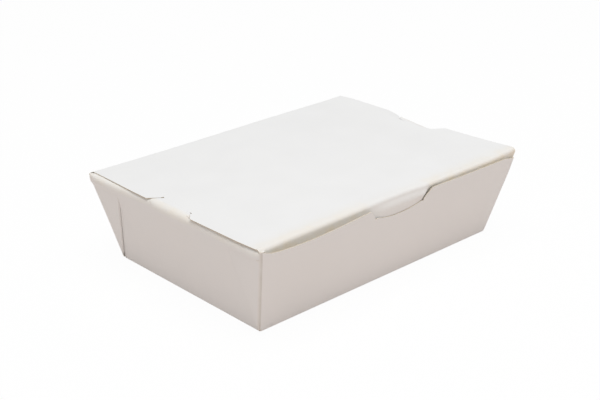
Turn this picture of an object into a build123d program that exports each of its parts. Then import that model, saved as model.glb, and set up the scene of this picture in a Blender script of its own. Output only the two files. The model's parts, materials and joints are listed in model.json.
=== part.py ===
from build123d import *
import math
import os

# Takeout food box folded from one sheet of paperboard, in millimetres
# +X runs along the box, -Y is the front, +Y is the lid's fold, +Z is up, and the box stands on Z = 0

# Outside sizes of the folded box: the rim over the gussets, the height, and how far each wall flares out
rim_length = 194.0
rim_width = 143.6
box_height = 50.0
end_flare = 8.6
side_flare = 13.4

# Board, and the outside radii of its folds: tight round the base and corners, soft at the flaps
board = 0.5
crease_radius = 1.0
dust_radius = 3.0
tuck_radius = 1.5

# Lid fold: a round bead along the back, and the clearance between the lid and the tray
hinge_radius = 0.6
lid_gap = 0.3

# Gussets: the surplus board of each corner, folded double against the outside of the end wall
gusset_width = 27.0
gusset_foot = 1.5
gusset_low = 2.5
gusset_fold = 0.45

# Dust flaps: turned inwards from the end walls, under the lid
dust_set_in = 4.0
dust_taper = 12.0
dust_length = 35.0
dust_corner = 8.0
dust_slot = 1.0

# Lid panel, and the tuck flap that slides inside the front wall
lid_set_in = 1.0
lid_corner = 1.0
tuck_taper = 8.0
tuck_depth = 16.0
tuck_corner = 6.0

# Thumb notches: width at the edge, width and depth where the slanted sides stop, depth in the middle
front_notch_width = 46.6
front_notch_low_width = 35.8
front_notch_side = 5.5
front_notch_middle = 8.2
end_notch_width = 37.6
end_notch_low_width = 26.4
end_notch_side = 6.6
end_notch_middle = 7.8
notch_stop_radius = 0.7

# Sizes that follow from those above
base_length = rim_length - 2 * end_flare
base_width = rim_width - 2 * side_flare
end_lean = math.atan(end_flare / box_height)
side_lean = math.atan(side_flare / box_height)
end_board = board / math.cos(end_lean)
side_board = board / math.cos(side_lean)
gusset_layer = 2 * end_board
lid_length = rim_length - 2 * lid_set_in
lid_top = box_height + lid_gap + board
hinge_z = lid_top - hinge_radius
rim_z = hinge_z - hinge_radius - lid_gap
clear = box_height


def half_length(z):
    return base_length / 2 + z * math.tan(end_lean)


def half_width(z):
    return base_width / 2 + z * math.tan(side_lean)


# Flared block between two heights, set in from the box's end faces and side faces
def flared_block(low, high, end_set_in, side_set_in):
    outlines = []
    for half, set_in in ((half_length, end_set_in), (half_width, side_set_in)):
        below = half(low) - set_in
        above = half(high) - set_in
        outlines.append(Polygon((-below, low), (below, low), (above, high), (-above, high), align=None))
    lengthwise = extrude(Plane.XZ * outlines[0], amount=rim_width, both=True)
    crosswise = extrude(Plane.YZ * outlines[1], amount=rim_length, both=True)
    return lengthwise & crosswise


# Section of a board that runs up a leaning wall, rolls over at the given top and runs inwards flat
# Returns the section, the centre of the roll and the point where the wall runs into the roll
def rolled_strip(foot, lean, top, radius, inward, downward):
    up = Vector(0, 1)
    out = Vector(math.cos(lean), -math.sin(lean))
    half_turn = (math.pi / 2 - lean) / 2
    slant = Vector(math.cos(half_turn), math.sin(half_turn))
    touch_z = top - radius - radius * math.sin(lean)
    touch = Vector(foot + touch_z * math.tan(lean), touch_z)
    centre = touch - out * radius
    crest = centre + up * radius
    tip = crest - Vector(inward, 0)
    tail = touch - Vector(math.sin(lean), math.cos(lean)) * downward
    inner_radius = radius - board
    inner_touch = touch - out * board
    inner_crest = crest - up * board
    edges = [
        Line(tail, touch),
        ThreePointArc(touch, centre + slant * radius, crest),
        Line(crest, tip),
        Line(tip, tip - up * board),
        Line(tip - up * board, inner_crest),
        ThreePointArc(inner_crest, centre + slant * inner_radius, inner_touch),
        Line(inner_touch, tail - out * board),
        Line(tail - out * board, tail),
    ]
    return make_face(edges), centre, touch


# Thumb notch with slanted sides, an arched bottom and round stops, drawn below the edge that it is cut in
def thumb_notch(width, low_width, side, middle):
    half = width / 2
    low = low_width / 2
    sides = Polyline((-low, -side), (-half, 0), (-half, half), (half, half), (half, 0), (low, -side))
    bottom = ThreePointArc((low, -side), (0, -middle), (-low, -side))
    outline = make_face(sides.edges() + bottom.edges())
    for x in (-low, low):
        outline += Pos(x, -side) * Circle(notch_stop_radius)
    return outline


# Outside and inside of the base and walls, with a creased foot
outside = flared_block(0, rim_z, gusset_layer, 0)
outside = fillet(outside.edges().group_by(Axis.Z)[0], crease_radius)
inside = flared_block(board, rim_z + clear, gusset_layer + end_board, side_board)
inside = fillet(inside.edges().group_by(Axis.Z)[0], crease_radius - board)

# One gusset, cut from the layer between the end wall and the outside of the box, its free fold rounded
layer = flared_block(gusset_low, rim_z, 0, 0) - flared_block(0, rim_z + board, gusset_layer, -board)
gusset_outline = Polygon(
    (half_width(gusset_low) - gusset_foot, gusset_low),
    (half_width(gusset_low) + board, gusset_low),
    (half_width(rim_z) + board, rim_z),
    (half_width(rim_z) - gusset_width, rim_z),
    align=None,
)
gusset = layer & extrude(Plane.YZ * gusset_outline, amount=rim_length)
long_edges = gusset.edges().sort_by(Edge.length)[-4:]
free_fold = long_edges.sort_by(Axis.Y)[:2].sort_by(Axis.X)[-1]
gusset = fillet(free_fold, gusset_fold)

# Dust flap of one end wall, with tapered sides and rounded corners
dust_half = rim_width / 2 - dust_set_in
dust_tip_half = dust_half - dust_taper
end_foot = base_length / 2 - gusset_layer
dust_strip, dust_centre, dust_touch = rolled_strip(
    end_foot, end_lean, box_height, dust_radius, dust_length, dust_radius
)
dust_tip_x = dust_centre.X - dust_length
dust_outline = Polygon(
    (dust_tip_x, -dust_tip_half),
    (dust_centre.X, -dust_half),
    (rim_length, -dust_half),
    (rim_length, dust_half),
    (dust_centre.X, dust_half),
    (dust_tip_x, dust_tip_half),
    align=None,
)
dust_outline = fillet(dust_outline.vertices().sort_by(Axis.X)[:2], dust_corner)
dust_flap = extrude(Plane.XZ * dust_strip, amount=dust_half, both=True)
dust_flap &= extrude(dust_outline, amount=box_height + clear)

# Space at the top of the end wall for the dust flap's roll and the slot at each side of it
roll_space = Pos(dust_touch.X, 0, dust_touch.Y) * Box(
    2 * (gusset_layer + end_board + board),
    2 * (dust_half + dust_slot),
    clear,
    align=(Align.CENTER, Align.CENTER, Align.MIN),
)

# Tray: base, walls and gussets, creased at the corners, then hollowed and fitted with the dust flaps
tray = outside
for corner in (gusset, mirror(gusset, about=Plane.XZ)):
    tray += [corner, mirror(corner, about=Plane.YZ)]
corner_edges = [
    edge
    for edge in tray.edges().filter_by(GeomType.LINE)
    if abs(abs(edge.center().X) - half_length(edge.center().Z)) < board / 2
    and abs(abs(edge.center().Y) - half_width(edge.center().Z)) < board / 2
    and edge.length > box_height / 2
]
tray = fillet(corner_edges, crease_radius) - inside
tray -= [roll_space, mirror(roll_space, about=Plane.YZ)]
tray += [dust_flap, mirror(dust_flap, about=Plane.YZ)]

# Thumb notch in the front wall
front_plane = Plane((0, 0, rim_z), x_dir=(1, 0, 0), z_dir=(0, -1, 0))
front_notch = thumb_notch(front_notch_width, front_notch_low_width, front_notch_side, front_notch_middle)
tray -= extrude(front_plane * front_notch, amount=rim_width)

# Tuck flap of the lid, which follows the inside of the front wall
tuck_half = lid_length / 2 - lid_corner
tuck_tip_half = tuck_half - tuck_taper
tuck_foot = base_width / 2 - side_board - lid_gap / math.cos(side_lean)
tuck_strip, tuck_centre, tuck_touch = rolled_strip(
    tuck_foot, side_lean, lid_top, tuck_radius, tuck_radius, tuck_depth
)
tuck_low = tuck_touch.Y - tuck_depth * math.cos(side_lean)
tuck_outline = Polygon(
    (-tuck_tip_half, tuck_low - board),
    (tuck_tip_half, tuck_low - board),
    (tuck_half, lid_top),
    (-tuck_half, lid_top),
    align=None,
)
tuck_outline = fillet(tuck_outline.vertices().sort_by(Axis.Y)[:2], tuck_corner)
front_to_back = Plane((0, 0, 0), x_dir=(0, -1, 0), z_dir=(-1, 0, 0))
tuck_flap = extrude(front_to_back * tuck_strip, amount=tuck_half, both=True)
tuck_flap &= extrude(Plane.XZ * tuck_outline, amount=rim_width)

# Lid panel between the two folds, with rounded corners where the tuck flap rolls down
hinge_y = half_width(hinge_z) - hinge_radius / math.cos(side_lean)
from_front = (Align.CENTER, Align.MIN)
panel_outline = Pos(0, -tuck_centre.X) * Rectangle(lid_length, tuck_centre.X + hinge_y, align=from_front)
panel_outline = fillet(panel_outline.vertices().sort_by(Axis.Y)[:2], lid_corner)
panel = Pos(0, 0, lid_top - board) * extrude(panel_outline, amount=board)

# Thumb notch in the middle of each end of the panel
end_middle = (hinge_y - tuck_centre.X) / 2
end_plane = Plane((lid_length / 2, end_middle, 0), x_dir=(0, 1, 0), z_dir=(0, 0, -1))
end_notch = thumb_notch(end_notch_width, end_notch_low_width, end_notch_side, end_notch_middle)
end_cut = extrude(end_plane * end_notch, amount=lid_top + clear, both=True)

# Lid: panel, tuck flap and the bead that it turns on
bead = Pos(0, hinge_y, hinge_z) * Rot(0, 90, 0) * Cylinder(hinge_radius, lid_length)
lid = panel + [bead, tuck_flap] - [end_cut, mirror(end_cut, about=Plane.YZ)]

os.makedirs("parts", exist_ok=True)
export_step(tray, "parts/tray.step")
export_step(lid, "parts/lid.step")
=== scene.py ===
import json
import math
from collections import namedtuple

import bpy
from mathutils import Matrix, Quaternion, Vector
from mathutils.geometry import delaunay_2d_cdt


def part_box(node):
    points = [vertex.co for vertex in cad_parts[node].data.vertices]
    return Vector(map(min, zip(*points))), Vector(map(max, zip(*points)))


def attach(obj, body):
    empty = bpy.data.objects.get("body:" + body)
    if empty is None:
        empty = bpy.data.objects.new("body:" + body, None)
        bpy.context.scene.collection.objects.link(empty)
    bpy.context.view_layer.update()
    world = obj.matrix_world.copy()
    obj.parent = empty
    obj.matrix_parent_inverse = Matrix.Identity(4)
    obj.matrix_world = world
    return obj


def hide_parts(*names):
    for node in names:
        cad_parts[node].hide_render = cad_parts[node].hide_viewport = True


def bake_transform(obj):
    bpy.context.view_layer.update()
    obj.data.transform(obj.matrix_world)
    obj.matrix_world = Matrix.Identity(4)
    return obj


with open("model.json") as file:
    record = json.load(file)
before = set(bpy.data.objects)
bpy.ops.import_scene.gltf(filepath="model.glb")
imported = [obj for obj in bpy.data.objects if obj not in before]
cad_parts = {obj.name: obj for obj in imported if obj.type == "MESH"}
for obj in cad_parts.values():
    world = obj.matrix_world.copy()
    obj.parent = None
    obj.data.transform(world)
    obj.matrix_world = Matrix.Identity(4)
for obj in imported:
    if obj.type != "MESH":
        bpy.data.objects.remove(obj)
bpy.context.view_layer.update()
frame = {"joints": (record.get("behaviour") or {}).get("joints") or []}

# Tray: base, four flared walls, gusseted corners and two dust flaps, all of one sheet of white paperboard.
# The blank is die-cut flat, creased, and folded up with its outside face underneath; the surplus board of
# each corner is folded double and turned against the outside of the end wall.
mm = 0.001
board = 0.5 * mm
fit = 0.05 * mm
crease_radius = 1.0 * mm
corner_radius = 1.6 * mm
dust_radius = 3.0 * mm
gusset_radius = 0.52 * mm
base_half_length = 88.4 * mm
base_half_width = 58.4 * mm
tray_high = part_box("tray")[1]
lid_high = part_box("lid")[1]
hinge = Vector(frame["joints"][0]["pos_m"])
hinge_radius = lid_high.z - hinge.z
lid_gap = lid_high.z - board - tray_high.z
rim_z = hinge.z - hinge_radius - lid_gap
lid_half = lid_high.x
end_lean = math.atan((tray_high.x - base_half_length) / rim_z)
side_lean = math.atan((tray_high.y - base_half_width) / rim_z)
side_board = board / math.cos(side_lean)


def half_length(z):
    return base_half_length + z * math.tan(end_lean)


def half_width(z):
    return base_half_width + z * math.tan(side_lean)


# A fold takes this much of each of its two flat panels, and this length of arc on its outside face
def tangent_and_arc(turn, radius):
    return radius * math.tan(turn / 2), radius * turn


# Where the creases lie on the blank, in the quarter with positive x and y; *_zero is a wall's virtual foot
end_turn = math.pi / 2 - end_lean
end_tangent, end_arc = tangent_and_arc(end_turn, crease_radius)
end_foot = base_half_length - (2 * gusset_radius + fit) / math.cos(end_lean)
end_start = end_foot - end_tangent
end_zero = end_start + end_arc - end_tangent
side_turn = math.pi / 2 - side_lean
side_tangent, side_arc = tangent_and_arc(side_turn, crease_radius)
side_start = base_half_width - side_tangent
side_zero = side_start + side_arc - side_tangent

# Dust flap: rolls over at the top of the end wall, as wide as the wall, and lies flat under the lid
dust_set_in = 4 * mm
dust_half = half_width(tray_high.z) - dust_set_in
dust_taper = 12 * mm
dust_length = 35 * mm
dust_corner = 8 * mm
dust_step = 1 * mm
roll_turn = math.pi / 2 + end_lean
roll_arc = dust_radius * roll_turn
touch_z = tray_high.z - dust_radius * (1 + math.sin(end_lean))
roll_start = end_zero + touch_z / math.cos(end_lean)
flap_start = roll_start + roll_arc
flap_tip = flap_start + dust_length
wall_half = base_half_width - side_board - fit
roll_half = wall_half + touch_z * math.tan(side_lean)
crest_x = end_foot + touch_z * math.tan(end_lean) - dust_radius * math.cos(end_lean)

# Gusset: hangs on the corner crease and is folded double along its free edge. Its outer layer reaches the
# rim beside the corner only, and its inner layer ends short of the corner and of the roll
gusset_low = 1.2 * mm
gusset_foot = 0.8 * mm
gusset_width = 27 * mm
gusset_margin = 1.6 * mm
gusset_post = 1.0 * mm
gusset_outer_drop = 1.3 * mm
gusset_inner_drop = 6 * mm
corner_turn = math.acos(math.sin(side_lean) * math.sin(end_lean))
corner_tangent, corner_arc = tangent_and_arc(corner_turn, corner_radius)
corner_line = Vector((math.tan(end_lean), 1 / math.cos(side_lean))).normalized()
corner_away = Vector((corner_line.y, -corner_line.x))
corner_to_rim = Vector((math.tan(end_lean), math.tan(side_lean), 1)).angle(Vector((0, -1, 0)))
rim_line = Matrix.Rotation(-corner_to_rim, 2) @ corner_line


def corner_point(z):
    return Vector((half_length(z), side_zero + z / math.cos(side_lean)))


# A point of the gusset's outer layer, given by its distance from the corner and its height when folded
def gusset_point(inward, z):
    return corner_point(z) + inward * rim_line - (2 * corner_tangent - corner_arc) * corner_away


def free_width(z):
    return gusset_foot + (gusset_width - gusset_foot) * (z - gusset_low) / (rim_z - gusset_low)


free_low = gusset_point(gusset_foot, gusset_low)
free_line = (gusset_point(gusset_width, rim_z) - free_low).normalized()
free_away = Vector((free_line.y, -free_line.x))


# The same point of the gusset's inner layer, on the far side of the free edge
def inner_layer(point):
    before = (free_low - point).dot(free_away)
    return point + (2 * before + (math.pi - 2) * gusset_radius) * free_away


# Steps of a rounded corner or of a fold, and of half a notch's bottom, which is drawn short of the stops
arc_steps = 8
bottom_steps = 5
bottom_share = 0.9


# Thumb notch from left to right along an edge at y = 0: slanted sides, round stops and an arched bottom
def thumb_notch(width, low_width, side, middle, stop):
    low = Vector((low_width / 2, -side))
    rise = middle - side
    arch = (low.x ** 2 + rise ** 2) / (2 * rise)
    slant = math.atan2(side, (width - low_width) / 2)
    reach = math.asin(low.x / arch)
    right = [Vector((width / 2, 0))]
    for step in range(arc_steps + 1):
        turn = slant - (math.pi + slant - reach) * step / arc_steps
        right.append(low + stop * Vector((math.cos(turn), math.sin(turn))))
    bottom = []
    for step in range(-bottom_steps, bottom_steps + 1):
        turn = reach * bottom_share * step / bottom_steps
        bottom.append(Vector((arch * math.sin(turn), arch - middle - arch * math.cos(turn))))
    left = [Vector((-point.x, point.y)) for point in right]
    return left + bottom + right[::-1]


front_notch_width = 46.6 * mm
front_notch_low_width = 35.8 * mm
front_notch_side = 5.5 * mm
front_notch_middle = 8.2 * mm
front_notch_stop = 0.7 * mm
front_notch = thumb_notch(
    front_notch_width, front_notch_low_width, front_notch_side, front_notch_middle, front_notch_stop
)


# Rounds the corner of an outline between two neighbouring points
def rounded(before, corner, after, radius):
    to_before = (before - corner).normalized()
    to_after = (after - corner).normalized()
    half = to_before.angle(to_after) / 2
    centre = corner + (to_before + to_after).normalized() * radius / math.sin(half)
    first = corner + to_before * radius / math.tan(half) - centre
    sweep = first.angle_signed(corner + to_after * radius / math.tan(half) - centre)
    turns = [-sweep * step / arc_steps for step in range(arc_steps + 1)]
    return [centre + Matrix.Rotation(turn, 2) @ first for turn in turns]


# One quarter of the blank's outline, from the top of the side wall round the gusset to the dust flap's tip
wall_top = corner_point(rim_z)
outer_top = touch_z - gusset_outer_drop
inner_top = touch_z - gusset_inner_drop
inner_low = gusset_low + (rim_z - gusset_low) * gusset_margin / gusset_width
outer = [
    gusset_point(gusset_post, rim_z),
    gusset_point(gusset_post, outer_top),
    gusset_point(free_width(outer_top), outer_top),
]
inner = [
    inner_layer(outer[2]),
    inner_layer(gusset_point(free_width(inner_top), inner_top)),
    inner_layer(gusset_point(gusset_margin, inner_top)),
    inner_layer(gusset_point(free_width(inner_low), inner_low)),
]
flap_tip_corner = Vector((flap_tip, dust_half - dust_taper))
flap_side = Vector((flap_start + dust_step, dust_half))
quarter = [
    wall_top - Vector((corner_tangent / corner_away.x, 0)),
    *outer,
    *inner,
    gusset_point(free_width(inner_low), inner_low),
    free_low,
    gusset_point(corner_tangent / rim_line.dot(corner_away), gusset_low),
    corner_point(gusset_low) - Vector((corner_tangent / corner_away.x, 0)),
    Vector((end_foot, side_start + side_arc)),
    Vector((end_start, side_start)),
    Vector((end_start + end_arc, wall_half)),
    Vector((roll_start, roll_half)),
    Vector((flap_start - dust_step, roll_half)),
    flap_side,
    *rounded(flap_side, flap_tip_corner, Vector((flap_tip, 0)), dust_corner),
]


def flipped(points, x_sign, y_sign):
    return [Vector((point.x * x_sign, point.y * y_sign)) for point in points]


notch_slope = 1 / math.cos(side_lean)
notch_edge = [Vector((point.x, -wall_top.y - point.y * notch_slope)) for point in front_notch]
blank_outline = (
    quarter
    + flipped(quarter, 1, -1)[::-1]
    + notch_edge[::-1]
    + flipped(quarter, -1, -1)
    + flipped(quarter, -1, 1)[::-1]
)

# The folds in the order that they are made: panel, a point of the line, direction across it, turn, radius,
# how far the line runs from that point, and how much the white face is rubbed creamy and darkened by
# painted grey shade there
Fold = namedtuple("Fold", "panel line across turn radius reach wear shade")
gusset_length = (wall_top - corner_point(gusset_low)).length
free_start = free_low - gusset_radius * free_away
corner_start = corner_point(gusset_low) - corner_tangent * corner_away
right = Vector((1, 0))
back = Vector((0, 1))
# The shade of each fold is painted shade: it darkens the crease grey where shade falls in it
tray_folds = {
    "gusset fold": Fold(
        "gusset", free_start, free_away, math.pi, gusset_radius, gusset_length, wear=0.1, shade=0.17
    ),
    "corner crease": Fold(
        "gusset", corner_start, corner_away, corner_turn, corner_radius, gusset_length, wear=0.2, shade=0.4
    ),
    "side wall crease": Fold(
        "side_wall", side_start * back, back, side_turn, crease_radius, end_start, wear=0.2, shade=0.1
    ),
    "dust flap roll": Fold(
        "end_wall", roll_start * right, right, roll_turn, dust_radius, roll_half, wear=0.75, shade=0
    ),
    "end wall crease": Fold(
        "end_wall", end_start * right, right, end_turn, crease_radius, side_start, wear=0.2, shade=0.1
    ),
}


# Rows of points along a fold, one at each step of its arc and one on each side to keep the panels flat
def fold_rows(fold, both_ways):
    along = Vector((-fold.across.y, fold.across.x)) * fold.reach
    guard = fold.radius / 4
    arc = fold.turn * fold.radius
    rows = []
    for past in (-guard, *(arc * step / arc_steps for step in range(arc_steps + 1)), arc + guard):
        middle = fold.line + past * fold.across
        rows.append((middle - along if both_ways else middle, middle + along))
    return rows


# A wall's fold runs across two quarters and is made on two sides, and a gusset's is made at four corners
two_sides = ((1, 1), (-1, -1))
four_corners = (*two_sides, (1, -1), (-1, 1))
blank_rows = []
for fold in tray_folds.values():
    at_corner = fold.panel == "gusset"
    for row in fold_rows(fold, not at_corner):
        for signs in four_corners if at_corner else two_sides:
            blank_rows.append(flipped(row, *signs))


# A line of points with more between them, so that no step is longer than the spacing
def divided(line, spacing):
    points = [line[0]]
    for start, end in zip(line, line[1:]):
        count = max(1, math.ceil((end - start).length / spacing))
        points += [start.lerp(end, step / count) for step in range(1, count + 1)]
    return points


# Flat plate of board: outside face at z = 0, inside face above it, and cut edges between them
def board_plate(name, outline, rows, spacing):
    outline = divided([*outline, outline[0]], spacing)[:-1]
    points = list(outline[::-1])
    edges = [(i, (i + 1) % len(outline)) for i in range(len(outline))]
    for row in (divided(row, spacing) for row in rows):
        edges += [(len(points) + i, len(points) + i + 1) for i in range(len(row) - 1)]
        points += row
    low = [min(point[axis] for point in outline) for axis in (0, 1)]
    high = [max(point[axis] for point in outline) for axis in (0, 1)]
    counts = [math.ceil((high[axis] - low[axis]) / spacing) for axis in (0, 1)]
    for i in range(1, counts[0]):
        for j in range(1, counts[1]):
            x = low[0] + (high[0] - low[0]) * i / counts[0]
            y = low[1] + (high[1] - low[1]) * j / counts[1]
            points.append(Vector((x, y)))
    whole = [range(len(outline))]
    merge_distance = fit / 50
    places, _, triangles, _, _, sources = delaunay_2d_cdt(points, edges, whole, 0, merge_distance)
    triangles = [triangle for triangle, source in zip(triangles, sources) if source]
    used = sorted({i for triangle in triangles for i in triangle})
    new = {old: i for i, old in enumerate(used)}
    triangles = [[new[i] for i in triangle] for triangle in triangles]
    count = len(used)
    sides = {(t[i - 1], t[i]) for t in triangles for i in range(3)}
    rim = [(a, b, b + count, a + count) for a, b in sides if (b, a) not in sides]
    flat = [(*places[i], 0) for i in used]
    mesh = bpy.data.meshes.new(name)
    mesh.from_pydata(
        flat + [(x, y, board) for x, y, _ in flat],
        [],
        [t[::-1] for t in triangles] + [[i + count for i in t] for t in triangles] + sorted(rim),
    )
    raw = mesh.attributes.new("raw_edge", "BOOLEAN", "FACE")
    raw.data.foreach_set("value", [False] * (2 * len(triangles)) + [True] * len(rim))
    return mesh


# Nothing of paperboard is quite flat or true. A change sets in smoothly between its start and its end, and
# an amount of 1 makes it a share of another
Change = namedtuple("Change", "amount start end")


def share_of(start, end, place):
    return min(1, max(0, (place - start) / (end - start)))


def smooth(start, end, place):
    share = share_of(start, end, place)
    return share * share * (3 - 2 * share)


def eased(change, place):
    return change.amount * smooth(change.start, change.end, place)


# How high the sprung lid stands over its true place: it climbs from left to right and curls up at the right
# corners, and its right end sags between them
panel_front = -67 * mm
panel_back = 71 * mm
front_lift = 0.15 * mm
front_climb = Change(0.85 * mm, -90 * mm, -5 * mm)
front_curl = Change(1.5 * mm, 70 * mm, 105 * mm)
back_climb = Change(1.7 * mm, -75 * mm, 75 * mm)
back_curl = Change(0.5 * mm, 80 * mm, 98 * mm)
right_sag = Change(7.6 * mm, 40 * mm, 97 * mm)


def lid_rise(x, y):
    to_back = share_of(panel_front, panel_back, y)
    at_front = front_lift + eased(front_climb, x) + eased(front_curl, x)
    at_back = eased(back_climb, x) + eased(back_curl, x)
    sag = eased(right_sag, x) * to_back * (1 - to_back) ** 2
    return at_front + (at_back - at_front) * to_back - sag


# How far the lid's ends stand out from their true place
right_reach = 1.5 * mm
right_back_loss = Change(1.2 * mm, 60 * mm, 71 * mm)
left_front_gain = Change(0.7 * mm, -71 * mm, -52 * mm)
left_notch_loss = Change(0.3 * mm, 0, 20 * mm)
left_back_loss = Change(1.1 * mm, 20 * mm, 70 * mm)


def lid_reach(x, y):
    if x > 0:
        return right_reach - eased(right_back_loss, y)
    return eased(left_front_gain, y) - eased(left_notch_loss, y) - eased(left_back_loss, y)


# The lid's end notches, and the tongues of the dust flaps in them: the left tongue fills its notch, flush
# with the lid but for a slit at the back, and the right one stands up at the back of its notch only
notch_y = 1 * mm
notch_width = 37.6 * mm
notch_low_width = 26.4 * mm
notch_side = 6.6 * mm
notch_middle = 7.8 * mm
tongue_ramp = 0.12 * mm
tongue_slit = 0.5 * mm
tongue_lap = 0.2 * mm
notch_slant = math.atan2(notch_side, (notch_width - notch_low_width) / 2)
notch_rise = notch_middle - notch_side
notch_arch = ((notch_low_width / 2) ** 2 + notch_rise ** 2) / (2 * notch_rise)

# The left notch is less deep at the front
left_notch_skew = Change(0.3, 10 * mm, -12 * mm)


def notch_skew(x, along):
    return 1 - eased(left_notch_skew, along) if x < 0 else 1


# Room between the tongue and the side of the notch
def side_room(x, along):
    if x > 0:
        return 0
    return tongue_slit if along > 0 else -tongue_lap


# How far a point of the lid's end, given by its place along and its depth, lies inside the tongue
def tongue_inset(x, along, depth):
    depth = depth / notch_skew(x, along)
    to_arc = notch_arch - math.hypot(along, notch_arch - notch_middle + depth)
    to_side = math.sin(notch_slant) * (notch_width / 2 - abs(along)) - math.cos(notch_slant) * depth
    return min(to_arc, to_side - side_room(x, along))


# Depth of the tongue's edge, or of a line inside it by the given inset
def tongue_depth(x, along, inset):
    side = inset + side_room(x, along)
    by_side = math.tan(notch_slant) * (notch_width / 2 - abs(along)) - side / math.cos(notch_slant)
    by_arc = math.sqrt((notch_arch - inset) ** 2 - along ** 2) - notch_arch + notch_middle
    return min(by_side, by_arc) * notch_skew(x, along)


# Place on the blank of a point of the folded flap, given by its depth from the lid's end, and the way back
def flap_place(x, y, depth):
    out = lid_half + lid_reach(x, y) - depth - crest_x
    return flap_start - (dust_radius * math.asin(min(1, out / dust_radius)) if out > 0 else out)


def flap_depth(x, y):
    past = min(flap_start - abs(x), roll_arc)
    out = dust_radius * math.sin(past / dust_radius) if past > 0 else past
    return lid_half + lid_reach(x, y) - crest_x - out


# Two rows of points along each tongue's edge, at the foot and at the top of its ramp
right_tongue_shoulder = 0.4 * mm
tongue_insets = {-1: (-tongue_ramp, 0), 1: (-tongue_ramp, right_tongue_shoulder)}
tongue_steps = 46
tongue_least = 1.2 * mm
tongue_rows = []
for side, insets in tongue_insets.items():
    for inset in insets:
        row = []
        for step in range(1 - tongue_steps, tongue_steps):
            along = notch_width / 2 * step / tongue_steps
            depth = tongue_depth(side, along, inset)
            if depth > tongue_least:
                row.append(Vector((side * flap_place(side, notch_y + along, depth), notch_y + along)))
        tongue_rows.append(row)
tray_spacing = 5 * mm
tray_mesh = board_plate("tray_board", blank_outline, blank_rows + tongue_rows, tray_spacing)

# Which panel a point of the blank belongs to, in the quarter with positive x and y
gusset_from = corner_point(gusset_low).y - 1 * mm


def panel_of(x, y):
    wall_edge = wall_half + max(0, x - end_zero) * math.cos(end_lean) * math.tan(side_lean)
    if x > end_start and y < wall_edge + fit:
        return "end_wall"
    past_corner = (Vector((x, y)) - corner_point(0)).dot(corner_away)
    if past_corner > -corner_tangent - fit and y > gusset_from:
        return "gusset"
    return "side_wall" if y > side_start else "base"


panels = [panel_of(abs(vertex.co.x), abs(vertex.co.y)) for vertex in tray_mesh.vertices]
turned_together = {"gusset": ("gusset",), "side_wall": ("side_wall", "gusset"), "end_wall": ("end_wall",)}
for name, members in turned_together.items():
    chosen = tray_mesh.attributes.new(name, "BOOLEAN", "POINT")
    chosen.data.foreach_set("value", [panel in members for panel in panels])

# The end walls stand out between the gussets and bulge over the gussets' top edges, but less at the front
# corners
roll_bulge = 1.1 * mm
left_far_bulge = Change(0.4 * mm, 20 * mm, 45 * mm)
front_corner_loss = Change(0.55, roll_half - 4 * mm, roll_half - 1 * mm)
over_gusset = Change(1, 43 * mm, 46 * mm)
bulge_low = end_zero + 12 * mm
bulge_low_gusset = roll_start - 5.5 * mm
bulge_high = roll_start - 0.8 * mm
bulge_fade = Change(1, roll_start, flap_start - 1 * mm)


def end_wall_bulge(x, y):
    bulge = roll_bulge + (eased(left_far_bulge, abs(y)) if x < 0 else 0)
    bulge *= 1 - eased(front_corner_loss, -y)
    over = eased(over_gusset, abs(y))
    low = bulge_low * (1 - over) + bulge_low_gusset * over
    return bulge * smooth(low, bulge_high, abs(x)) * (1 - eased(bulge_fade, abs(x)))


# The left roll is squarer than an arc, most at the back, and runs into the arc at the front corner
left_square = 0.7 * mm
left_square_back = Change(0.15 * mm, 0, 45 * mm)
left_square_far = Change(0.4 * mm, 50 * mm, 70 * mm)
left_square_front = Change(1, -roll_half, -roll_half + 6 * mm)


def roll_squareness(x, y):
    if x > 0:
        return 0
    square = left_square + eased(left_square_back, y) + eased(left_square_far, y)
    round_roll = share_of(roll_start, flap_start, -x)
    return square * eased(left_square_front, y) * math.sin(math.pi * round_roll) ** 2


# The tongues stand up in the notches to the lid's top: their ramp is steep on the flap and softer down the
# roll, and the right one sinks towards the front
tongue_root = Change(1, roll_start - 8 * mm, roll_start)
tongue_softness = Change(4.5 * mm, 0.4 * roll_arc, 0.85 * roll_arc)
right_tongue_front = -12 * mm
right_tongue_back = 16 * mm


def tongue_lift(x, y):
    along = y - notch_y
    rise = lid_high.z - tray_high.z + lid_rise(x, y)
    softness = eased(tongue_softness, flap_start - abs(x))
    inside = smooth(-tongue_ramp, softness, tongue_inset(x, along, flap_depth(x, y)))
    if x > 0:
        inside *= share_of(right_tongue_front, right_tongue_back, along)
    return rise * inside * eased(tongue_root, abs(x))


# The front wall bows out and down at the left of its thumb notch, and stands out and up at its right
front_bow = 1.3 * mm
front_dip = 1.4 * mm
bow_left = -95 * mm
bow_right = -23 * mm
bow_lean = 0.7
beside_out = 0.4 * mm
beside_up = 0.8 * mm
beside_near = Change(1, 20 * mm, 24 * mm)
beside_far = Change(1, 55 * mm, 28 * mm)
bow_height = Change(1, 15 * mm, rim_z)
dip_height = Change(1, 25 * mm, rim_z)


def front_wall_moves(x, height):
    bow = math.sin(math.pi * share_of(bow_left, bow_right, x) ** bow_lean)
    beside = eased(beside_near, x) * eased(beside_far, x)
    out = (front_bow * bow + beside_out * beside) * eased(bow_height, height)
    down = (front_dip * bow - beside_up * beside) * eased(dip_height, height)
    return out, down


for vertex, panel in zip(tray_mesh.vertices, panels):
    x, y, _ = vertex.co
    if panel == "end_wall":
        vertex.co.z -= end_wall_bulge(x, y) + roll_squareness(x, y) + tongue_lift(x, y)
    elif panel == "side_wall" and y < 0:
        out, down = front_wall_moves(x, (-y - side_zero) * math.cos(side_lean))
        vertex.co.z -= out
        vertex.co.y += down


# A node with its settings, and its inputs in order: sockets are linked, values are set, None is left alone
def add_node(tree, kind, inputs=(), **settings):
    made = tree.nodes.new(kind)
    for setting, value in settings.items():
        setattr(made, setting, value)
    for socket, value in zip(made.inputs, inputs):
        if isinstance(value, bpy.types.NodeSocket):
            tree.links.new(value, socket)
        elif value is not None:
            socket.default_value = value
    return made


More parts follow.
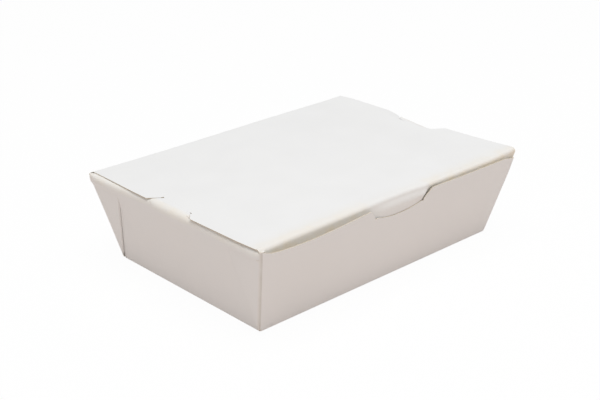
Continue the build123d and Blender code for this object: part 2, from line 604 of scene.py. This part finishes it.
def math_node(tree, operation, *inputs):
    return add_node(tree, "ShaderNodeMath", inputs, operation=operation).outputs[0]


def vector_node(tree, operation, *inputs):
    made = add_node(tree, "ShaderNodeVectorMath", inputs, operation=operation)
    return made.outputs["Value" if operation == "DOT_PRODUCT" else "Vector"]


def add_input(tree, name, kind):
    return tree.interface.new_socket(name, in_out="INPUT", socket_type="NodeSocket" + kind)


# Rule of one fold: what lies past the line is wound round an arc of the radius, and the rest turns with it
fold_inputs = {"line": "Vector", "across": "Vector", "turn": "Float", "radius": "Float"}
crease_rule = bpy.data.node_groups.new("crease", "GeometryNodeTree")
add_input(crease_rule, "board", "Geometry")
add_input(crease_rule, "panel", "Bool")
for size, kind in fold_inputs.items():
    add_input(crease_rule, size, kind)
crease_rule.interface.new_socket("board", in_out="OUTPUT", socket_type="NodeSocketGeometry")
given = crease_rule.nodes.new("NodeGroupInput").outputs
place = crease_rule.nodes.new("GeometryNodeInputPosition").outputs[0]
from_line = vector_node(crease_rule, "SUBTRACT", place, given["line"])
past = vector_node(crease_rule, "DOT_PRODUCT", from_line, given["across"])
height = add_node(crease_rule, "ShaderNodeSeparateXYZ", (place,)).outputs["Z"]
arc = math_node(crease_rule, "MULTIPLY", given["turn"], given["radius"])
wound = math_node(crease_rule, "MINIMUM", math_node(crease_rule, "MAXIMUM", past, 0.0), arc)
angle = math_node(crease_rule, "DIVIDE", wound, given["radius"])
rest = math_node(crease_rule, "SUBTRACT", past, wound)
inside = math_node(crease_rule, "SUBTRACT", given["radius"], height)
sine = math_node(crease_rule, "SINE", angle)
cosine = math_node(crease_rule, "COSINE", angle)
swung = math_node(crease_rule, "MULTIPLY", inside, sine)
new_past = math_node(crease_rule, "MULTIPLY_ADD", rest, cosine, swung)
fall = math_node(crease_rule, "MULTIPLY", inside, cosine)
raised = math_node(crease_rule, "SUBTRACT", given["radius"], fall)
new_height = math_node(crease_rule, "MULTIPLY_ADD", rest, sine, raised)
slide = vector_node(crease_rule, "SCALE", given["across"])
crease_rule.links.new(math_node(crease_rule, "SUBTRACT", new_past, past), slide.node.inputs["Scale"])
climb = math_node(crease_rule, "SUBTRACT", new_height, height)
lift = add_node(crease_rule, "ShaderNodeCombineXYZ", (None, None, climb)).outputs[0]
move = vector_node(crease_rule, "ADD", slide, lift)
moved = add_node(crease_rule, "GeometryNodeSetPosition", (given["board"], given["panel"], None, move))
add_node(crease_rule, "NodeGroupOutput", (moved.outputs[0],))


def named_attribute(tree, name, kind):
    return add_node(tree, "GeometryNodeInputNamedAttribute", (name,), data_type=kind).outputs["Attribute"]


# Tree that folds a plate by a list of creases and gives it its two materials, with its inputs.
# A blank that is the same in all four quarters is folded as one quarter and turned out again
def folding_tree(name, folds, face_material, edge_material, quarters):
    tree = bpy.data.node_groups.new(name, "GeometryNodeTree")
    add_input(tree, "board", "Geometry")
    tree.interface.new_socket("board", in_out="OUTPUT", socket_type="NodeSocketGeometry")
    sockets = {}
    for fold in folds:
        for size, kind in fold_inputs.items():
            sockets[fold, size] = add_input(tree, f"{fold} {size}", kind)
    given = tree.nodes.new("NodeGroupInput").outputs
    geometry = given["board"]
    if quarters:
        place = tree.nodes.new("GeometryNodeInputPosition").outputs[0]
        sign = vector_node(tree, "MULTIPLY_ADD", vector_node(tree, "SIGN", place), (1, 1, 0), (0, 0, 1))
        store = add_node(tree, "GeometryNodeStoreNamedAttribute", data_type="FLOAT_VECTOR", domain="POINT")
        store.inputs["Name"].default_value = "quarter"
        tree.links.new(geometry, store.inputs["Geometry"])
        tree.links.new(sign, store.inputs["Value"])
        quarter_sign = named_attribute(tree, "quarter", "FLOAT_VECTOR")
        turned = vector_node(tree, "MULTIPLY", place, quarter_sign)
        geometry = add_node(tree, "GeometryNodeSetPosition", (store.outputs[0], None, turned)).outputs[0]
    for fold, sizes in folds.items():
        step = tree.nodes.new("GeometryNodeGroup")
        step.node_tree = crease_rule
        step.name = fold
        tree.links.new(geometry, step.inputs["board"])
        step.inputs["panel"].default_value = True
        if sizes.panel:
            tree.links.new(named_attribute(tree, sizes.panel, "BOOLEAN"), step.inputs["panel"])
        for size in fold_inputs:
            tree.links.new(given[f"{fold} {size}"], step.inputs[size])
        geometry = step.outputs[0]
    if quarters:
        geometry = add_node(tree, "GeometryNodeSetPosition", (geometry, None, turned)).outputs[0]
        geometry = add_node(tree, "GeometryNodeRemoveAttribute", (geometry, None, "quarter")).outputs[0]
    geometry = add_node(tree, "GeometryNodeRealizeInstances", (geometry,)).outputs[0]
    geometry = add_node(tree, "GeometryNodeSetMaterial", (geometry, None, face_material)).outputs[0]
    raw = named_attribute(tree, "raw_edge", "BOOLEAN")
    geometry = add_node(tree, "GeometryNodeSetMaterial", (geometry, raw, edge_material)).outputs[0]
    add_node(tree, "NodeGroupOutput", (geometry,))
    return tree, sockets


# Folds a flat plate by such a tree, and returns the folded piece as an object with a plain mesh
def folded_piece(name, flat_mesh, folds, face_material, edge_material, quarters=False):
    piece = bpy.data.objects.new(name, flat_mesh)
    bpy.context.scene.collection.objects.link(piece)
    tree, sockets = folding_tree(name + "_folds", folds, face_material, edge_material, quarters)
    modifier = piece.modifiers.new("folds", "NODES")
    modifier.node_group = tree
    for name_of_fold, fold in folds.items():
        modifier[sockets[name_of_fold, "line"].identifier] = (*fold.line, 0)
        modifier[sockets[name_of_fold, "across"].identifier] = (*fold.across, 0)
        modifier[sockets[name_of_fold, "turn"].identifier] = fold.turn
        modifier[sockets[name_of_fold, "radius"].identifier] = fold.radius
    evaluated = piece.evaluated_get(bpy.context.evaluated_depsgraph_get())
    mesh = bpy.data.meshes.new_from_object(evaluated)
    piece.modifiers.clear()
    piece.data = mesh
    mesh.name = name
    mesh.shade_smooth()
    sharp_angle = math.radians(35)
    mesh.set_sharp_from_angle(angle=sharp_angle)
    return piece


# Mix of two colours, whose sockets come after five others for numbers and vectors
def colour_mix(tree, factor, first, second):
    passed_over = (None,) * 5
    mix = add_node(tree, "ShaderNodeMix", (factor, *passed_over, first, second), data_type="RGBA")
    return mix.outputs[2]


# Matt white face of the board: a faint cloudy shade, a fine tooth of fibres, and along the folds a cream
# tone where it is rubbed and a painted grey shade in the creases; on the lid's tuck flap the cream is also
# painted warm shade
def white_board():
    white_low = (0.855, 0.853, 0.848, 1)
    white_high = (0.885, 0.884, 0.880, 1)
    cream_rub_and_gap_shade = (0.88, 0.78, 0.62, 1)
    painted_shade_grey = (0.40, 0.36, 0.30, 1)
    cloud_scale = 38.0
    cloud_detail = 3.0
    cloud_low = 0.3
    cloud_high = 0.7
    patch_scale = 160.0
    patch_detail = 4.0
    rub_strength = 0.9
    crease_shade_least = 0.3
    fibre_stretch = (1, 3, 3)
    fibre_scale = 700.0
    fibre_detail = 4.0
    tooth_strength = 0.12
    tooth_height = 0.12 * mm
    smoothest = 0.56
    roughest = 0.66
    reflection = 0.3
    material = bpy.data.materials.new("white_board")
    material.use_nodes = True
    tree = material.node_tree
    face = tree.nodes["Principled BSDF"]
    place = tree.nodes.new("ShaderNodeTexCoord").outputs["Object"]
    cloud = add_node(tree, "ShaderNodeTexNoise", (place, None, cloud_scale, cloud_detail)).outputs[0]
    white = colour_mix(tree, cloud, white_low, white_high)
    # The cream is rubbed wear on the folds, and on the lid's tuck flap painted warm shade of the gap behind
    # the front wall
    wear = add_node(tree, "ShaderNodeAttribute", attribute_name="fold_wear_and_gap_shade").outputs["Fac"]
    patch = add_node(tree, "ShaderNodeTexNoise", (place, None, patch_scale, patch_detail)).outputs[0]
    rub_and_gap_shade = math_node(tree, "MULTIPLY", wear, math_node(tree, "MULTIPLY", patch, rub_strength))
    cream = colour_mix(tree, rub_and_gap_shade, white, cream_rub_and_gap_shade)
    # Painted shade: the grey mixed in here darkens the creases and the gusset's fold
    crease_shade = add_node(tree, "ShaderNodeAttribute", attribute_name="painted_fold_shade").outputs["Fac"]
    crease_shade_amount = math_node(tree, "MULTIPLY", crease_shade, math_node(tree, "ADD", patch, crease_shade_least))
    grey = colour_mix(tree, crease_shade_amount, cream, painted_shade_grey)
    tree.links.new(grey, face.inputs["Base Color"])
    fibre_place = add_node(tree, "ShaderNodeMapping", (place, None, None, fibre_stretch)).outputs[0]
    fibre = add_node(tree, "ShaderNodeTexNoise", (fibre_place, None, fibre_scale, fibre_detail)).outputs[0]
    bump = add_node(tree, "ShaderNodeBump", (tooth_strength, tooth_height))
    tree.links.new(fibre, bump.inputs["Height"])
    tree.links.new(bump.outputs[0], face.inputs["Normal"])
    gloss_range = (cloud, cloud_low, cloud_high, smoothest, roughest)
    gloss = add_node(tree, "ShaderNodeMapRange", gloss_range).outputs[0]
    tree.links.new(gloss, face.inputs["Roughness"])
    face.inputs["Specular IOR Level"].default_value = reflection
    return material


# Raw cut edge of the board: the greyish tan core between the white faces, with fibres along the cut
def cut_edge():
    core_dark = (0.52, 0.45, 0.36, 1)
    core_light = (0.78, 0.71, 0.60, 1)
    fibre_stretch = (1, 1, 8)
    fibre_scale = 900.0
    fibre_detail = 3.0
    tooth_strength = 0.3
    tooth_height = 0.1 * mm
    roughness = 0.85
    material = bpy.data.materials.new("cut_edge")
    material.use_nodes = True
    tree = material.node_tree
    face = tree.nodes["Principled BSDF"]
    place = tree.nodes.new("ShaderNodeTexCoord").outputs["Object"]
    layers = add_node(tree, "ShaderNodeMapping", (place, None, None, fibre_stretch)).outputs[0]
    fibre = add_node(tree, "ShaderNodeTexNoise", (layers, None, fibre_scale, fibre_detail)).outputs[0]
    core = colour_mix(tree, fibre, core_dark, core_light)
    tree.links.new(core, face.inputs["Base Color"])
    bump = add_node(tree, "ShaderNodeBump", (tooth_strength, tooth_height))
    tree.links.new(fibre, bump.inputs["Height"])
    tree.links.new(bump.outputs[0], face.inputs["Normal"])
    face.inputs["Roughness"].default_value = roughness
    return material


# Marks how much each point of a plate is rubbed, and how much painted shade darkens it, by the folds of its
# panel: the rub is greatest in the middle of a fold's arc, and the painted shade in its first half. A
# gusset also takes the side wall's crease
def mark_wear_and_shade(mesh, folds, panels=None):
    shade_lean = 0.5
    turned_with = {"gusset": "side_wall"}
    wear = mesh.attributes.new("fold_wear_and_gap_shade", "FLOAT", "POINT")
    shade = mesh.attributes.new("painted_fold_shade", "FLOAT", "POINT")
    for i, vertex in enumerate(mesh.vertices):
        here = Vector((abs(vertex.co.x), abs(vertex.co.y))) if panels else vertex.co.xy
        for fold in folds.values():
            if not panels or fold.panel in (panels[i], turned_with.get(panels[i])):
                share = (here - fold.line).dot(fold.across) / (fold.turn * fold.radius)
                if 0 < share < 1:
                    wear.data[i].value = fold.wear * math.sin(math.pi * share)
                    # painted grey shade along the crease
                    shade.data[i].value = fold.shade * math.sin(math.pi * share ** shade_lean) ** 2


mark_wear_and_shade(tray_mesh, tray_folds, panels)
board_face = white_board()
board_edge = cut_edge()
tray_board = folded_piece("tray_board", tray_mesh, tray_folds, board_face, board_edge, quarters=True)

# The left end leans and springs out at the back, both left corners stand up to the lid, and the front right
# corner is low and turned in. The dust flaps, over the rim, keep their height
spring_out = 0.9 * mm
spring_power = 3
lean_out = 0.8 * mm
lean_power = 0.5
left_end = Change(1, -80 * mm, -97 * mm)
back_half = Change(1, 20 * mm, 66 * mm)
wall_top_part = Change(1, 38 * mm, rim_z)
left_up = Change(1.2 * mm, -93 * mm, -96 * mm)
corner_part = Change(1, 67 * mm, 71 * mm)
right_down = 1.2 * mm
right_in = 1.7 * mm
right_end = Change(1, 86 * mm, 95 * mm)
front_end = Change(1, -62 * mm, -70 * mm)
walls_below = rim_z + 1 * mm
for vertex in tray_board.data.vertices:
    x, y, z = vertex.co
    height = max(0, z) / tray_high.z
    out = spring_out * height ** spring_power + lean_out * height ** lean_power
    vertex.co.x -= out * eased(left_end, x) * eased(back_half, y)
    if z < walls_below:
        near_top = eased(wall_top_part, z)
        low_corner = near_top * eased(right_end, x) * eased(front_end, y)
        vertex.co.z += near_top * eased(left_up, x) * eased(corner_part, abs(y)) - right_down * low_corner
        vertex.co.x -= right_in * low_corner
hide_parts("tray")
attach(tray_board, "tray")

# Lid: the sheet's top panel with a thumb notch in each end, and the tuck flap that rolls down inside the
# front wall. It is cut and creased with the tray, and hangs on the crease along the top of the back wall.
lid_corner = 0.3 * mm
tuck_taper = 9 * mm
tuck_straight = 5 * mm
tuck_depth = 15 * mm
tuck_corner = 6 * mm
tuck_radius = 2.1 * mm
tuck_bend = 20 * mm
tuck_start = 66.5 * mm
tuck_half = lid_half - lid_corner
tuck_end = tuck_start + math.pi / 2 * tuck_radius
tuck_tip = Vector((tuck_half - tuck_taper, tuck_end + tuck_depth))
lid_front = Vector((0, tuck_start))
tuck_side = Vector((tuck_half, tuck_end))
left_stop = 0.9 * mm
right_stop = 0.1 * mm
right_notch_round = 10 * mm


# One end of the lid, from the tuck flap's tip to the hinge; both are drawn as the right one
def lid_edge(side):
    stop = right_stop if side > 0 else left_stop
    end_notch = thumb_notch(notch_width, notch_low_width, notch_side, notch_middle, stop)
    notch = [Vector((lid_half + p.y * notch_skew(side, p.x), -notch_y - p.x)) for p in end_notch]
    if side > 0:
        notch[-1:] = rounded(notch[-2], notch[-1], Vector((lid_half, -hinge.y)), right_notch_round)
    return [
        *rounded(Vector((0, tuck_tip.y)), tuck_tip, tuck_side, tuck_corner),
        tuck_side,
        Vector((tuck_half, tuck_start)),
        Vector((lid_half, tuck_start - lid_corner)),
        *notch,
        Vector((lid_half, -hinge.y)),
    ]


lid_outline = lid_edge(1) + flipped(lid_edge(-1), -1, 1)[::-1]
bend_start = (tuck_end + tuck_straight) * back
lid_folds = {
    "tuck flap bend": Fold(None, bend_start, back, side_lean, tuck_bend, tuck_half, wear=0, shade=0),
    "tuck flap roll": Fold(None, lid_front, back, math.pi / 2, tuck_radius, tuck_half, wear=0, shade=0),
}
lid_rows = [row for fold in lid_folds.values() for row in fold_rows(fold, True)]

# More rows of points on the tuck flap: along the right side of the front notch, and across the flap
notch_side_top = Vector((front_notch_width / 2, tuck_end))
notch_side_low = Vector((front_notch_low_width / 2, tuck_end + front_notch_side))
rows_aside = 4
for step in range(-rows_aside, rows_aside + 1):
    aside = Vector((step * mm, 0))
    lid_rows.append([notch_side_top + aside, notch_side_low + aside])
row_depths = (1.5 * mm, 3 * mm, 4.5 * mm, 6 * mm, 8 * mm)
for depth in row_depths:
    row_left = Vector((-tuck_half + depth, tuck_end + depth))
    row_right = Vector((tuck_half - depth, tuck_end + depth))
    lid_rows.append([row_left, row_right])
lid_spacing = 4 * mm
lid_mesh = board_plate("lid_board", lid_outline, lid_rows, lid_spacing)
mark_wear_and_shade(lid_mesh, lid_folds)

# The outside is rubbed creamy along the fold; on the flap below it the cream is painted warm shade of the
# gap behind the front wall, with a little painted grey shade. Both are less in the front notch, and the
# painted shade starts sooner below the fold towards the right
notch_left = Change(1, -24 * mm, -20 * mm)
notch_right = Change(1, 24 * mm, 20 * mm)
fold_rub = 0.6
fold_rub_loss = 0.4
fold_rub_part = Change(1, tuck_start - 8 * mm, tuck_start + 1 * mm)
flap_shade_start = tuck_start + 1 * mm
flap_shade_end = tuck_end + 3 * mm
flap_shade_sooner = Change(2.5 * mm, 0, 40 * mm)
rub_and_shade_fade = Change(1, tuck_end + 8 * mm, tuck_end + 3.5 * mm)
flap_shade_strength = 0.04
flap_wear_and_shade = lid_mesh.attributes["fold_wear_and_gap_shade"].data
flap_shade = lid_mesh.attributes["painted_fold_shade"].data
for i, vertex in enumerate(lid_mesh.vertices):
    x, y, z = vertex.co
    outside = 1 if z < board / 2 else 0
    in_notch = eased(notch_left, x) * eased(notch_right, x)
    near_fold = (fold_rub - fold_rub_loss * in_notch) * eased(fold_rub_part, y)
    # Painted shade: warm cream on the flap where it lies in the gap behind the front wall
    gap_shade_on_flap = (1 - in_notch) * smooth(flap_shade_start, flap_shade_end - eased(flap_shade_sooner, x), y)
    fading = outside * eased(rub_and_shade_fade, y)
    flap_wear_and_shade[i].value = (near_fold + gap_shade_on_flap) * fading
    flap_shade[i].value = flap_shade_strength * gap_shade_on_flap * fading
lid_board = folded_piece("lid_board", lid_mesh, lid_folds, board_face, board_edge)
face_up = Matrix.Translation((0, 0, lid_high.z)) @ Matrix.Rotation(math.pi, 4, "X")
lid_board.data.transform(face_up)

# The fold stands out over the front wall at the left corner and from the notch to the right end. In the
# front notch the flap bulges out, and at the notch's right side it stays back and leaves a slit
fold_left_out = Change(0.9 * mm, -72 * mm, -96 * mm)
fold_right_out = Change(1.2 * mm, 5 * mm, 25 * mm)
fold_end_out = Change(0.3 * mm, 60 * mm, 97 * mm)
fold_part = Change(1, 42 * mm, 46.5 * mm)
flap_out = Change(1.2 * mm, 49 * mm, 45.5 * mm)
bulge_low_part = Change(1, 35 * mm, 46 * mm)
bulge_left_part = Change(1, -22 * mm, -8 * mm)
bulge_right_part = Change(1, 1.5 * mm, -1.5 * mm)
slit_run = 4.6 * mm
slit_near = Change(1, 0, 2.5 * mm)
slit_far = Change(1, 34 * mm, 27 * mm)


def front_out(x, z):
    fold_out = eased(fold_left_out, x) + eased(fold_right_out, x) + eased(fold_end_out, x)
    from_side = x - front_notch_width / 2 + min(rim_z - z, slit_run)
    bulge = eased(bulge_low_part, z) * eased(bulge_left_part, x) * eased(bulge_right_part, from_side)
    slit = eased(slit_near, from_side) * eased(slit_far, x)
    return fold_out * eased(fold_part, z) + eased(flap_out, z) * (bulge - slit)


# The right end droops at the back of its notch
droop_end = Change(1.2 * mm, 91 * mm, 96.5 * mm)
droop_front = Change(1, 6 * mm, 12 * mm)
droop_back = Change(1, 30 * mm, 20 * mm)
reach_part = Change(1, 50 * mm, 94 * mm)
front_part = Change(1, -45 * mm, -66 * mm)
for vertex in lid_board.data.vertices:
    x, y, z = vertex.co
    side = 1 if x > 0 else -1
    droop = eased(droop_end, x) * eased(droop_front, y) * eased(droop_back, y)
    vertex.co.x += side * lid_reach(x, y) * eased(reach_part, abs(x))
    vertex.co.y -= front_out(x, z) * eased(front_part, y)
    vertex.co.z += lid_rise(x, y) - droop
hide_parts("lid")
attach(lid_board, "lid")

# Lid crease: the strip of board between the back wall and the lid, folded round the crease for the closed
# lid.
# It is the same sheet, creased once, so it joins the two without a seam.
crease_turn = math.pi / 2 + side_lean
crease_arc = crease_turn * hinge_radius
stub = (hinge.z - hinge_radius * math.sin(side_lean) - rim_z) / math.cos(side_lean)
strip_far = -hinge.y - crease_arc - stub
strip_outline = [
    Vector((-lid_half, -hinge.y)),
    Vector((lid_half, -hinge.y)),
    Vector((lid_half, strip_far)),
    Vector((-lid_half, strip_far)),
]
strip_folds = {
    "lid crease": Fold(
        None, -hinge.y * back, -back, crease_turn, hinge_radius, lid_half, wear=0.5, shade=0
    ),
}
strip_rows = [row for fold in strip_folds.values() for row in fold_rows(fold, True)]
strip_spacing = 6 * mm
strip_mesh = board_plate("lid_crease", strip_outline, strip_rows, strip_spacing)
mark_wear_and_shade(strip_mesh, strip_folds)
lid_crease = folded_piece("lid_crease", strip_mesh, strip_folds, board_face, board_edge)
lid_crease.data.transform(face_up)
strip_left_reach = 1 * mm
for vertex in lid_crease.data.vertices:
    vertex.co.x += lid_reach(1, hinge.y) * eased(reach_part, vertex.co.x)
    vertex.co.x -= strip_left_reach * eased(reach_part, -vertex.co.x)
    vertex.co.z += lid_rise(vertex.co.x, hinge.y) * smooth(rim_z, hinge.z, vertex.co.z)
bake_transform(lid_crease)

# Floor: a plain white sweep of studio paper, spread flat under the box. The camera sees it almost evenly
# white, and it gives a little warm light back to the walls.
floor_half = 6
floor_drop = 0.1 * mm
warm_bounce = (0.84, 0.735, 0.675, 1)
pale_paper = (0.95, 0.95, 0.95, 1)
plain_white = (1, 1, 1, 1)
glow = 1.0
glow_share = 0.95
floor_signs = ((-1, -1), (1, -1), (1, 1), (-1, 1))
floor_corners = [(x * floor_half, y * floor_half, 0) for x, y in floor_signs]
floor_mesh = bpy.data.meshes.new("floor")
floor_mesh.from_pydata(floor_corners, [], [(0, 1, 2, 3)])
floor = bpy.data.objects.new("floor", floor_mesh)
floor.location.z = -floor_drop
bpy.context.scene.collection.objects.link(floor)
floor_material = bpy.data.materials.new("pale_floor")
floor_material.use_nodes = True
floor_tree = floor_material.node_tree
floor_tree.nodes.clear()
rays = floor_tree.nodes.new("ShaderNodeLightPath").outputs
seen = math_node(floor_tree, "MAXIMUM", rays["Is Camera Ray"], rays["Is Glossy Ray"])
bounce = add_node(floor_tree, "ShaderNodeBsdfDiffuse", (warm_bounce,)).outputs[0]
lit = add_node(floor_tree, "ShaderNodeBsdfDiffuse", (pale_paper,)).outputs[0]
white = add_node(floor_tree, "ShaderNodeEmission", (plain_white, glow)).outputs[0]
shown = add_node(floor_tree, "ShaderNodeMixShader", (glow_share, lit, white)).outputs[0]
mixed = add_node(floor_tree, "ShaderNodeMixShader", (seen, bounce, shown)).outputs[0]
add_node(floor_tree, "ShaderNodeOutputMaterial", (mixed,))
floor_mesh.materials.append(floor_material)

# Light: one large soft box hangs over the food box, a little in front of it, and lights the lid most.
# The even light of a dim white room reaches the walls, and the camera sees that room as plain white.
lamp_place = Vector((-0.1, -0.25, 1.4))
lamp_size = 1.6
lamp_power = 13.9
room_level = 0.46
room_colour = (1, 1, 1, 1)
lamp_light = bpy.data.lights.new("overhead_box", "AREA")
lamp_light.shape = "DISK"
lamp_light.size = lamp_size
lamp_light.energy = lamp_power
lamp = bpy.data.objects.new("overhead_box", lamp_light)
lamp.location = lamp_place
lamp.rotation_mode = "QUATERNION"
lamp.rotation_quaternion = (-lamp_place).to_track_quat("-Z", "Y")
bpy.context.scene.collection.objects.link(lamp)
world = bpy.data.worlds.new("room")
bpy.context.scene.world = world
world.use_nodes = True
world_tree = world.node_tree
world_rays = world_tree.nodes.new("ShaderNodeLightPath").outputs
background = world_tree.nodes["Background"]
strength = math_node(world_tree, "MULTIPLY_ADD", world_rays["Is Camera Ray"], 1 - room_level, room_level)
world_tree.links.new(strength, background.inputs["Strength"])
background.inputs["Color"].default_value = room_colour

# Camera: stands where the photograph was taken from, left of the front and a little above the box.
# Its place and its lens were fitted to the corners of the box, for a picture of 600 x 400.
view_azimuth = math.radians(-42.5)
view_elevation = math.radians(22.67)
view_roll = math.radians(-0.56)
view_distance = 625.0 * mm
view_target = Vector((1.04, 8.0, 25.0)) * mm
view_focus = 1085.0
image_width = 600
sensor_width = 36
camera_data = bpy.data.cameras.new("camera")
camera_data.sensor_width = sensor_width
camera_data.lens = view_focus / image_width * sensor_width
camera = bpy.data.objects.new("camera", camera_data)
view_back = Vector((
    math.sin(view_azimuth) * math.cos(view_elevation),
    -math.cos(view_azimuth) * math.cos(view_elevation),
    math.sin(view_elevation),
))
camera.location = view_target + view_back * view_distance
camera.rotation_mode = "QUATERNION"
camera.rotation_quaternion = (-view_back).to_track_quat("-Z", "Y") @ Quaternion((0, 0, 1), view_roll)
bpy.context.scene.collection.objects.link(camera)
bpy.context.scene.camera = camera

bpy.context.scene.view_settings.view_transform = "Standard"
